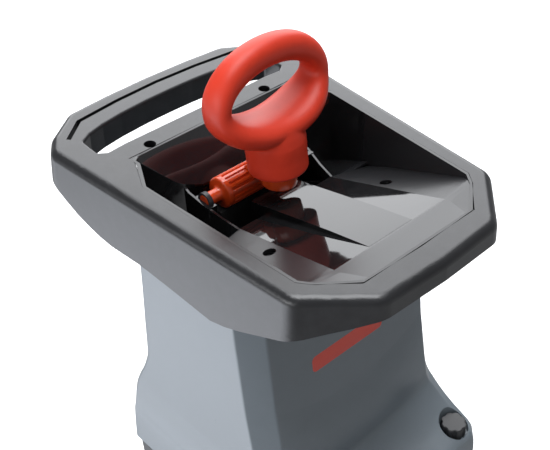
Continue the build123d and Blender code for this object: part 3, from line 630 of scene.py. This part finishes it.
def add_hinge_lug(column, x0, x1, y, z):
    """Lug at the lower rear edge, around the axis through (y, z)."""
    lug = cylinder((x0, y, z), (x1, y, z), radius=7.5, count=48)
    join(lug, box(x0 + 0.01, x1 - 0.01, 105.5, 118.5, 590.2, 593.4))
    join(lug, box(x0 + 0.02, x1 - 0.02, 105.6, 112, 590.5, 610))
    cut(lug, box(x0 - 1, x1 + 1, 90, 111, 560, 590))
    join(column, lug)


def build_column():
    hinge_y, hinge_z = 119, 586
    column = column_solid("upper_housing_shell", OUTER_ROWS)
    inner_rows = [float(z) for z in INNER_ROWS]
    cut(column, column_solid("tool", inner_rows, inset=WALL, thick=True))
    # open the bottom, then a rectangle at the middle of the lower end
    cut(column, box(-122.5, 122.5, -167, 106, SPLIT_Z - 8, SPLIT_Z + 4.0))
    cut(column, box(-60.8, 60.8, -2.3, 66.3, SPLIT_Z - 5, SPLIT_Z + 12))
    for side in (1, -1):
        add_knob_cup(column, side * KNOB_X)
        x0, x1 = sorted((side * 45, side * 70))
        add_hinge_lug(column, x0, x1, hinge_y, hinge_z)
    cut(column, cylinder((-80, hinge_y, hinge_z), (80, hinge_y, hinge_z),
                         radius=3.05, count=32))
    bake_bevel(column, width=0.7, segments=2, angle=40)
    return finish_piece(column, "column", "hopper", 40)


# ============================================================ pusher handle: ring on a post
RING_CENTRE = Vector((0, 27.1, RIM + 66.0))
RING_HALF_X, RING_HALF_UP = 57.8, 36.0
RING_TILT = math.radians(4.4)
RING_UP = Vector((0, math.sin(RING_TILT), math.cos(RING_TILT)))
RING_NORMAL = Vector((0, -math.cos(RING_TILT), math.sin(RING_TILT)))
ACROSS = Vector((1, 0, 0))
RING_STEPS, SECTION_STEPS = 180, 56
SECTION_POWER = 0.90    # below 1 squares the section slightly

POST_HALF_X, POST_HALF_Y = 29.4, 26.4
POST = [    # z above the deck, scale of the oval, y of its centre
    (-9.0, 0.90, 12.5), (-9.0, 0.955, 12.5), (-8.3, 0.99, 12.5), (-6.8, 1.0, 12.6),
    (-2.0, 1.0, 13.4), (6.0, 1.0, 14.8), (14, 1.01, 16.0), (20, 1.02, 17.2),
    (28, 1.0, 19.2), (36, 0.94, 21)]


def ring_section(t):
    """Section of the ring at angle t, thicker at the bottom and the top."""
    low = smooth(0, 1, -math.sin(t))
    top = smooth(0, 1, math.sin(t))
    centre = (RING_CENTRE + ACROSS * RING_HALF_X * math.cos(t)
              + RING_UP * RING_HALF_UP * math.sin(t) + RING_NORMAL * 1.4 * low)
    outward = (ACROSS * RING_HALF_UP * math.cos(t)
               + RING_UP * RING_HALF_X * math.sin(t)).normalized()
    half_out = 9.2 + 4.5 * low + 4.3 * top
    half_deep = 15.6 + 12.0 * low - 1.5 * top
    points = []
    for q in full_turn(SECTION_STEPS):
        c, s = math.cos(q), math.sin(q)
        out = math.copysign(abs(c) ** SECTION_POWER, c)
        deep = math.copysign(abs(s) ** SECTION_POWER, s)
        points.append((centre + outward * half_out * out
                       + RING_NORMAL * half_deep * deep) * MM)
    return points


def build_ring():
    verts = [point for t in full_turn(RING_STEPS) for point in ring_section(t)]
    faces = []
    for i in range(RING_STEPS):
        here, there = i * SECTION_STEPS, (i + 1) % RING_STEPS * SECTION_STEPS
        for k in range(SECTION_STEPS):
            m = (k + 1) % SECTION_STEPS
            faces.append((here + k, there + k, there + m, here + m))
    return raw("pusher_handle_grip", verts, faces)


def build_post():
    """Oval body with a rounded lower rim, leaning back into the ring."""
    post = tube([oval_loop(POST_HALF_X * scale, POST_HALF_Y * scale, y, z, count=120)
                 for z, scale, y in POST])
    # keep the hole of the ring free
    cut(post, tube([[(RING_CENTRE + RING_NORMAL * depth
                      + ACROSS * (RING_HALF_X - 3) * math.cos(t)
                      + RING_UP * (RING_HALF_UP - 5) * math.sin(t)) * MM
                     for t in full_turn(96)] for depth in (-80, 80)]))
    cut(post, box(-60, 60, -60, 90, RIM + 36, RIM + 80))
    return post


def build_handle():
    handle = build_ring()
    join(handle, build_post())
    # remesh and relax to blend the post into the ring
    remesh = handle.modifiers.new("remesh", "REMESH")
    remesh.mode = "VOXEL"
    remesh.voxel_size = 0.85 * MM
    remesh.adaptivity = 0.0
    relax = handle.modifiers.new("relax", "SMOOTH")
    relax.factor = 0.5
    relax.iterations = 9
    bake_modifiers(handle)
    # socket in the underside for the stem
    cut(handle, cylinder((0, STEM_Y, RIM - 30), (0, STEM_Y, RIM + 8),
                         radius=13.0, count=64))
    return finish_piece(handle, "red_grip", "pusher", 40)


# ============================================================ pusher hub
BARREL_Y, BARREL_Z = 45.0, RIM - 36.0   # the barrel lies along X
FLUTES = 16
FLUTE_STEPS = 14
BARREL_END = [      # distance from the middle, radius, depth of the flutes
    (62.3, 0.0, 0), (62.3, 5.6, 0), (61.8, 6.2, 0), (61.0, 6.45, 0), (47.0, 6.45, 0),
    (45.5, 6.7, 0), (44.4, 7.6, 0), (43.9, 9.0, 0), (43.8, 13.6, 0), (43.4, 14.7, 0),
    (42.4, 15.35, 0), (38.6, 15.4, 0), (38.0, 15.35, 0.5), (37.2, 15.3, 1.5),
    (36.0, 15.3, 1.7), (20.0, 15.3, 1.7)]
STEM = [            # z from the deck, radius
    (-26.0, 15.6), (-25.4, 16.6), (-24.4, 17.0), (-10.6, 17.0), (-9.7, 16.6),
    (-9.2, 15.6), (-9.1, 12.95), (7.4, 12.95), (7.8, 12.4)]
ARM_HALF_WIDTH = 13
ARM = [             # side outline: y, z from the deck
    (3, -25.5), (3, -11), (34, -12), (44, -18), (50, -26), (50, -36), (36, -36),
    (31, -27), (28, -26)]


def flute(t, depth):
    """Depth of the fluting at angle t."""
    turn = (t * FLUTES / (2 * math.pi)) % 1.0
    from_groove = abs(turn - 0.5) * 2       # 0 in the groove's middle, 1 on the rib
    k = min(1.0, max(0.0, (from_groove - 0.30) / 0.22))
    return depth * (1 - k * k * (3 - 2 * k))


def build_barrel():
    profile = [(-x, radius, depth) for x, radius, depth in BARREL_END]
    profile += reversed(BARREL_END)
    rows = []
    for x, radius, depth in profile:
        row = []
        for t in full_turn(FLUTES * FLUTE_STEPS):
            r = max(0.05, radius - flute(t, depth))
            row.append((x * MM, (BARREL_Y + r * math.cos(t)) * MM,
                        (BARREL_Z + r * math.sin(t)) * MM))
        rows.append(row)
    return tube(rows, "pusher_hub_barrel")


def build_stem():
    """Stem with a collar, and the arm from it to the barrel."""
    stem = tube([oval_loop(radius, radius, STEM_Y, z, count=96) for z, radius in STEM])
    arm = prism([[(x, y, RIM + z) for y, z in ARM]
                 for x in (-ARM_HALF_WIDTH, ARM_HALF_WIDTH)])
    bake_bevel(arm, width=1.6, segments=3)
    join(stem, arm)
    join(stem, box(-30, 30, BARREL_Y - 3, BARREL_Y + 3, BARREL_Z - 22, BARREL_Z - 8))
    # stepped hole up the stem
    for top, radius, count in ((-21, 6.2, 48), (10, 3.2, 32)):
        cut(stem, cylinder((0, STEM_Y, RIM - 27), (0, STEM_Y, RIM + top), radius, count))
    return stem


def build_hub():
    hub = build_barrel()
    join(hub, build_stem())
    return finish_piece(hub, "red_gloss", "pusher", 38)


# ============================================================ tray corners
CORNER = [      # x, y of the right web
    (88.5, 101.3), (88.5, 104.6), (100.8, 104.6), (101.2, 97.0), (118.4, 61.2),
    (116.2, 59.8), (107.3, 77.9), (98.7, 95.4), (94.6, 98.2), (90.2, 100.7)]


def build_corner(side, side_name):
    """Small web that closes the deck at a rear corner of the funnel's opening."""
    corner = prism([[(side * x, y, RIM + z) for x, y in CORNER] for z in (-0.35, -4.5)],
                   "hopper_tray_corner_" + side_name)
    bake_bevel(corner, width=0.35, segments=2, angle=50)
    finish_piece(corner, "tray", "hopper", 40)


# ============================================================ floor, light, camera
FLOOR_HALF = 14.0
FLOOR_BOUNCE = (0.22, 0.22, 0.22)   # floor colour that the machine sees
FLOOR_GLOW = 2.9
# azimuth (from +X, counter-clockwise), elevation and half sizes are in degrees
PANELS = [
    # large, behind on the right: seen in the deck and the ramp
    dict(azimuth=50.0, elevation=35.0, half_width=28.0, half_height=34.0, soft=0.05,
         strength=3.3),
    # on the left
    dict(azimuth=178.0, elevation=6.0, half_width=26.0, half_height=14.0, soft=0.25,
         strength=4.4),
]
SKY_LOW, SKY_HIGH = 0.26, 0.36
TOP_GLOW = 8.5                      # straight overhead
TINT = (0.985, 1.0, 1.025)


def build_floor():
    s = FLOOR_HALF
    mesh = bpy.data.meshes.new("floor")
    mesh.from_pydata([(-s, -s, 0), (s, -s, 0), (s, s, 0), (-s, s, 0)], [], [(0, 1, 2, 3)])
    ob = bpy.data.objects.new("floor", mesh)
    scene.collection.objects.link(ob)
    mat = bpy.data.materials.new("floor_pale")
    mat.use_nodes = True
    graph = Graph(mat.node_tree)
    bsdf = graph.nodes["Principled BSDF"]
    place = graph.coords["Object"]
    cloud = graph.noise(place, scale=3.0, detail=2.0)
    camera_ray = graph.new("ShaderNodeLightPath").outputs["Is Camera Ray"]
    pale = graph.mix(cloud, (0.84, 0.84, 0.84), (0.88, 0.88, 0.88))
    graph.feed(bsdf.inputs["Base Color"], graph.mix(camera_ray, FLOOR_BOUNCE, pale))
    bsdf.inputs["Roughness"].default_value = 0.8
    bsdf.inputs["Specular IOR Level"].default_value = 0.0
    # soft glow on the floor at the left, towards the back, hidden from the camera
    x, y, _ = graph.xyz(place)
    glow_x = graph.ramp(x, start=-0.20, end=-0.70)
    glow_y = graph.mul(graph.ramp(y, start=-0.60, end=0.15),
                       graph.ramp(y, start=1.9, end=0.6, low=0.45, high=1.0))
    near = graph.ramp(graph.length(place), start=4.0, end=2.2)
    glow = graph.mul(graph.mul(graph.mul(glow_x, glow_y), near), FLOOR_GLOW)
    hidden = graph.sub(1.0, camera_ray)
    graph.feed(bsdf.inputs["Emission Strength"], graph.mul(glow, hidden))
    bsdf.inputs["Emission Color"].default_value = (0.93, 0.97, 1.05, 1)
    mesh.materials.append(mat)


def panel_light(graph, direction, azimuth, elevation, half_width, half_height, soft,
                strength):
    """Soft-edged rectangle of light far away in one direction."""
    a, e = math.radians(azimuth), math.radians(elevation)
    centre = Vector((math.cos(e) * math.cos(a), math.cos(e) * math.sin(a), math.sin(e)))
    level = Vector((-math.sin(a), math.cos(a), 0))
    facing = graph.dot(direction, centre)
    safe = graph.math("MAXIMUM", facing, 0.02)
    fades = []
    for axis, half in ((level, half_width), (centre.cross(level), half_height)):
        offset = graph.math("DIVIDE", graph.dot(direction, axis), safe)
        offset = graph.math("ABSOLUTE", offset)
        edge = math.tan(math.radians(half))
        fades.append(graph.ramp(offset, start=edge + soft, end=edge - soft))
    ahead = graph.ramp(facing, start=0.02, end=0.06)
    return graph.mul(graph.mul(graph.mul(*fades), ahead), strength)


def build_world():
    """Panels, sky and overhead glow light the machine; the camera sees plain white."""
    world = bpy.data.worlds.new("studio")
    scene.world = world
    world.use_nodes = True
    graph = Graph(world.node_tree)
    background = graph.nodes["Background"]
    direction = graph.coords["Generated"]
    lights = [panel_light(graph, direction, **panel) for panel in PANELS]
    total = lights[0]
    for light in lights[1:]:
        total = graph.add(total, light)
    z = graph.xyz(direction)["Z"]
    total = graph.add(total, graph.ramp(z, start=-0.05, end=0.9, low=SKY_LOW, high=SKY_HIGH))
    total = graph.add(total, graph.ramp(z, start=0.90, end=0.965, high=TOP_GLOW))
    tinted = graph.new("ShaderNodeCombineColor")
    for channel, gain in enumerate(TINT):
        graph.feed(tinted.inputs[channel], graph.mul(total, gain))
    camera_ray = graph.new("ShaderNodeLightPath").outputs["Is Camera Ray"]
    seen = graph.mix(camera_ray, tinted.outputs[0], (1.0, 1.0, 1.0))
    graph.feed(background.inputs["Color"], seen)
    background.inputs["Strength"].default_value = 1.0


def build_camera():
    """Looks down at the machine from the front left."""
    data = bpy.data.cameras.new("camera")
    ob = bpy.data.objects.new("camera", data)
    scene.collection.objects.link(ob)
    data.sensor_fit = "HORIZONTAL"
    data.sensor_width = 36.0
    data.lens = 69.33
    data.clip_start = 0.05
    data.clip_end = 100
    a, e = math.radians(-43.1232), math.radians(38.5968)    # azimuth from -Y, elevation
    back = Vector((math.sin(a) * math.cos(e), -math.cos(a) * math.cos(e), math.sin(e)))
    ob.rotation_euler = back.to_track_quat("Z", "Y").to_euler()
    ob.location = (-0.5401, -0.560, 1.500)
    scene.camera = ob


build_floor()
build_world()
build_camera()
scene.view_settings.view_transform = "Standard"
scene.view_settings.look = "None"
scene.view_settings.exposure = 0.0

# ============================================================ pieces
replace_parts(build_column(), "upper_housing")
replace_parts(build_handle(), "pusher_handle")
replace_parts(build_hub(), "pusher_hub")
build_corner(-1, "left")
build_corner(1, "right")

# ============================================================ soft edges of the CAD pieces
EDGES = {       # (width in mm, segments): pieces
    (0.25, 1): "blades",
    (0.3, 1): "flap_pin",
    (0.3, 2): "axle_washer_left axle_washer_right",
    (0.35, 2): "feed_funnel",
    (0.4, 1): "front_crossbar",
    (0.4, 2): "counter_knife_bracket cutting_disc housing_screws handle_bolt hopper_screws",
    (0.45, 2): "hopper_tray",
    (0.5, 2): "mains_inlet locking_knob_left locking_knob_right interlock_switch disc_nut axle",
    (0.6, 2): "stand_bolts hopper_hinge_pin feed_duct",
    (0.7, 2): "tyre_left tyre_right",
    (0.8, 2): "switch_box motor_stator motor_brackets",
    (0.9, 2): "discharge_flap",
    (1.0, 2): "discharge_chute pusher_pad wheel_rim_left wheel_rim_right",
    (1.2, 2): "base_housing",
    (1.2, 3): "hub_cap_left hub_cap_right",
    (1.4, 2): "motor_cover",
}


def soften(ob, width, segments):
    weld = ob.modifiers.new("weld", "WELD")
    weld.merge_threshold = 1e-5
    edge = ob.modifiers.new("edge", "BEVEL")
    edge.width = width * MM
    edge.segments = segments
    edge.limit_method = "ANGLE"
    edge.angle_limit = math.radians(28)
    edge.use_clamp_overlap = True
    edge.harden_normals = False
    edge.miter_outer = "MITER_ARC"
    normals = ob.modifiers.new("normals", "WEIGHTED_NORMAL")
    normals.keep_sharp = False
    normals.weight = 60


for (edge_width, edge_segments), names in EDGES.items():
    for piece in names.split():
        soften(nodes[piece], edge_width, edge_segments)
